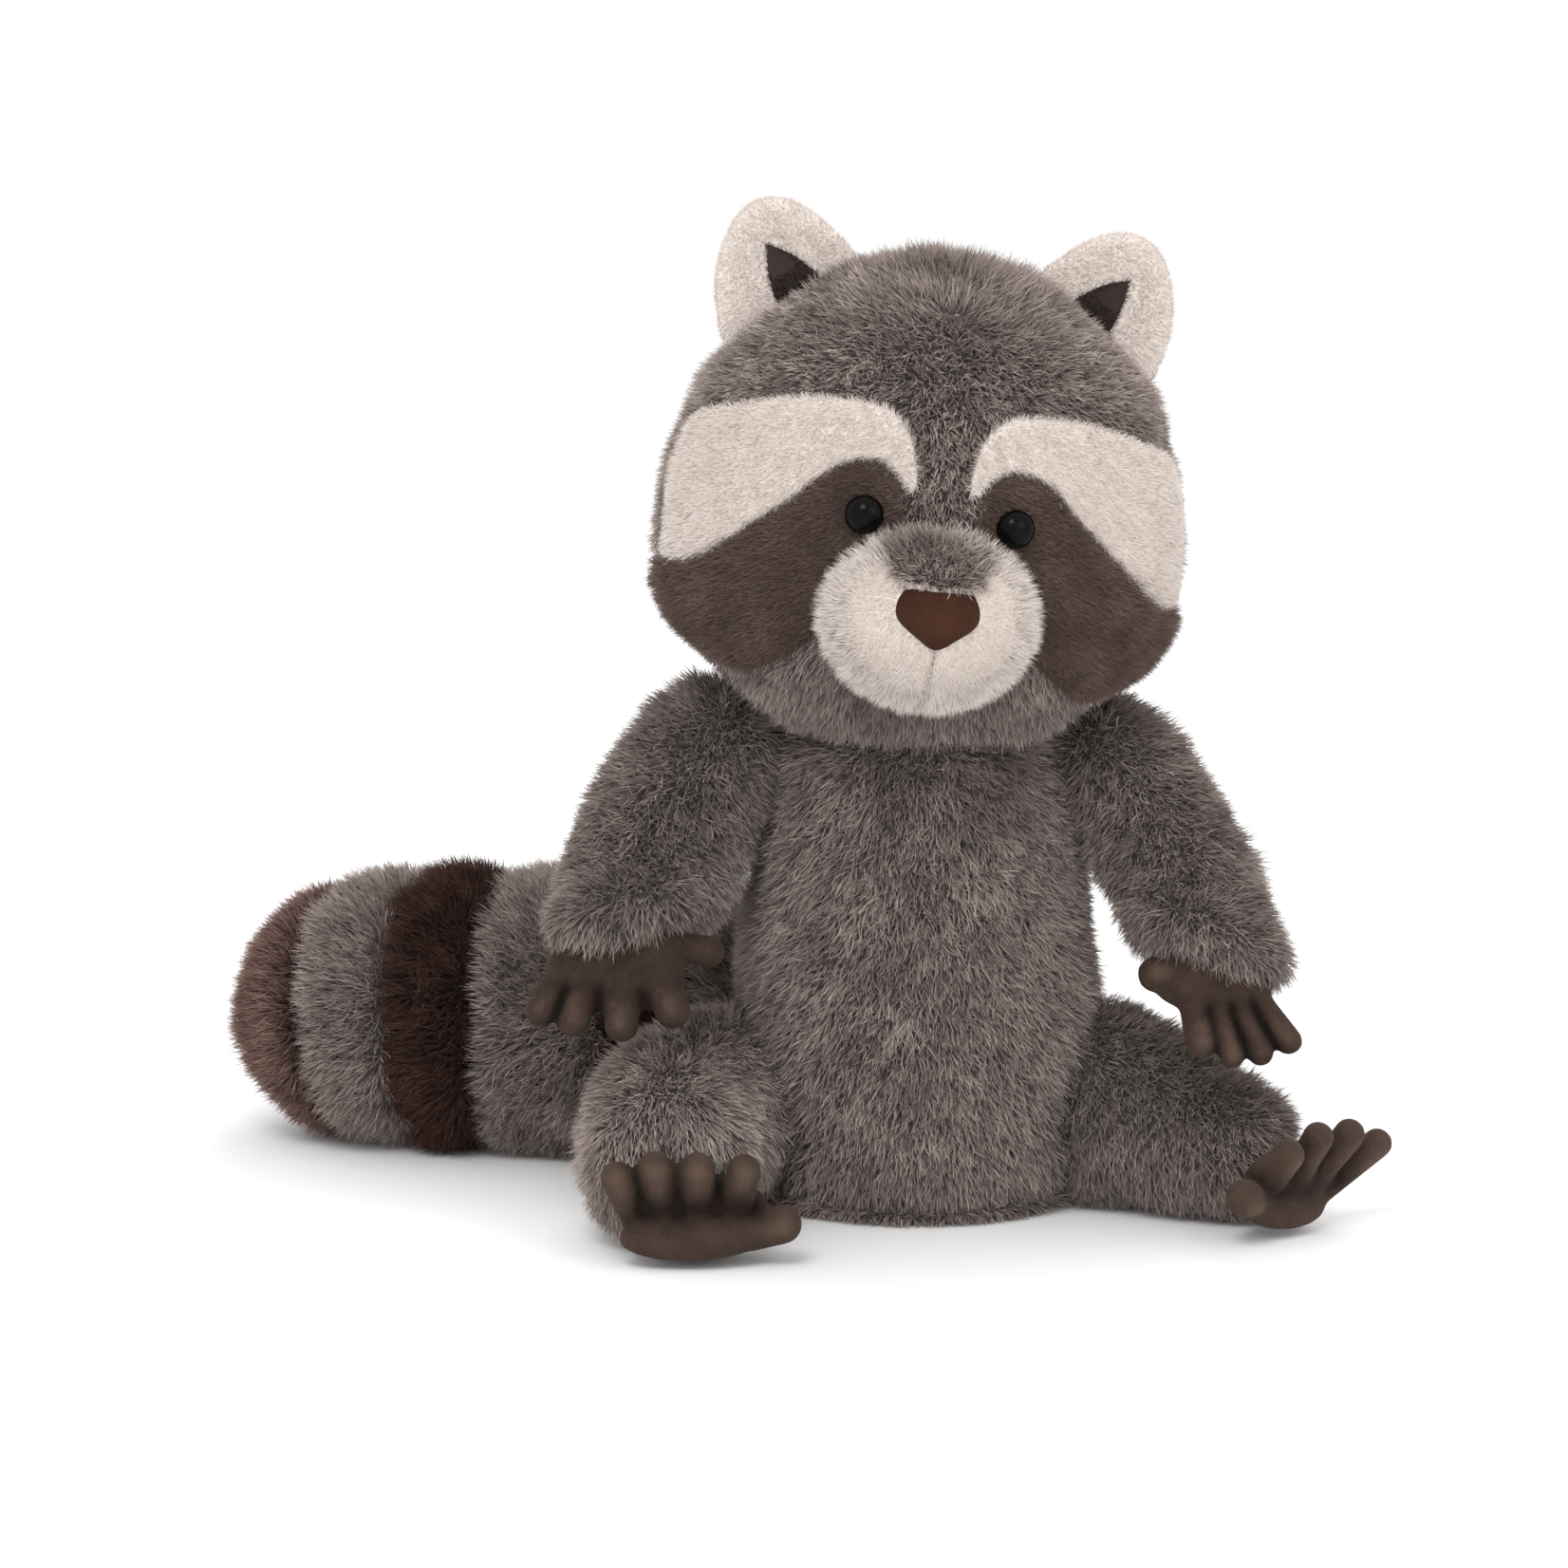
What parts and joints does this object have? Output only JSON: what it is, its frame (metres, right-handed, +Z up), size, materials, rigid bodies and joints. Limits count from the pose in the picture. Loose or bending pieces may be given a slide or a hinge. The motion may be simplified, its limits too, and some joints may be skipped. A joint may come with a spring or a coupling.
{
  "type": "plush raccoon",
  "caption": "Sitting plush raccoon with a round head, masked face, domed muzzle, upright ears, plump limbs with fingered paws and a thick banded tail lying to one side",
  "frame": {"origin": "On the floor at the centre of the torso's flat base panel", "axes": "+Z up, the face looks towards -Y, the toy's own left side is +X, the tail lies towards -X"},
  "size_m": [0.2793, 0.1822, 0.2389],
  "materials": {
    "grey_fur": "long soft pile, grey-brown",
    "cream_pile": "short soft pile, cream",
    "brown_pile": "short soft pile, brown",
    "dark_lining": "short pile, dark brown",
    "suede": "suede cloth, dark brown",
    "tail_brown": "long pile, dark red-brown",
    "nose_suede": "suede cloth, brown",
    "eye_black": "polished",
    "washer_white": "plain moulded",
    "pouch_cloth": "plain woven lining cloth"
  },
  "bodies": {
    "root": {"torso": "grey_fur", "torso_base_panel": "grey_fur", "bean_pouch": "pouch_cloth", "head": "grey_fur", "brow_patch_left": "cream_pile", "brow_patch_right": "cream_pile", "mask_patch_left": "brown_pile", "mask_patch_right": "brown_pile", "muzzle_left": "cream_pile", "muzzle_right": "cream_pile", "muzzle_bridge": "grey_fur", "nose": "nose_suede", "eye_left": "eye_black", "eye_right": "eye_black", "eye_washer_left": "washer_white", "eye_washer_right": "washer_white", "ear_left": "cream_pile", "ear_right": "cream_pile", "ear_lining_left": "dark_lining", "ear_lining_right": "dark_lining", "arm_left": "grey_fur", "arm_right": "grey_fur", "hand_left": "suede", "hand_right": "suede", "leg_left": "grey_fur", "leg_right": "grey_fur", "foot_left": "suede", "foot_right": "suede", "tail_root_grey": "grey_fur", "tail_band_brown_inner": "tail_brown", "tail_band_grey_inner": "grey_fur", "tail_band_brown_outer": "tail_brown", "tail_band_grey_outer": "grey_fur", "tail_tip_brown": "tail_brown"}
  },
  "joints": []
}
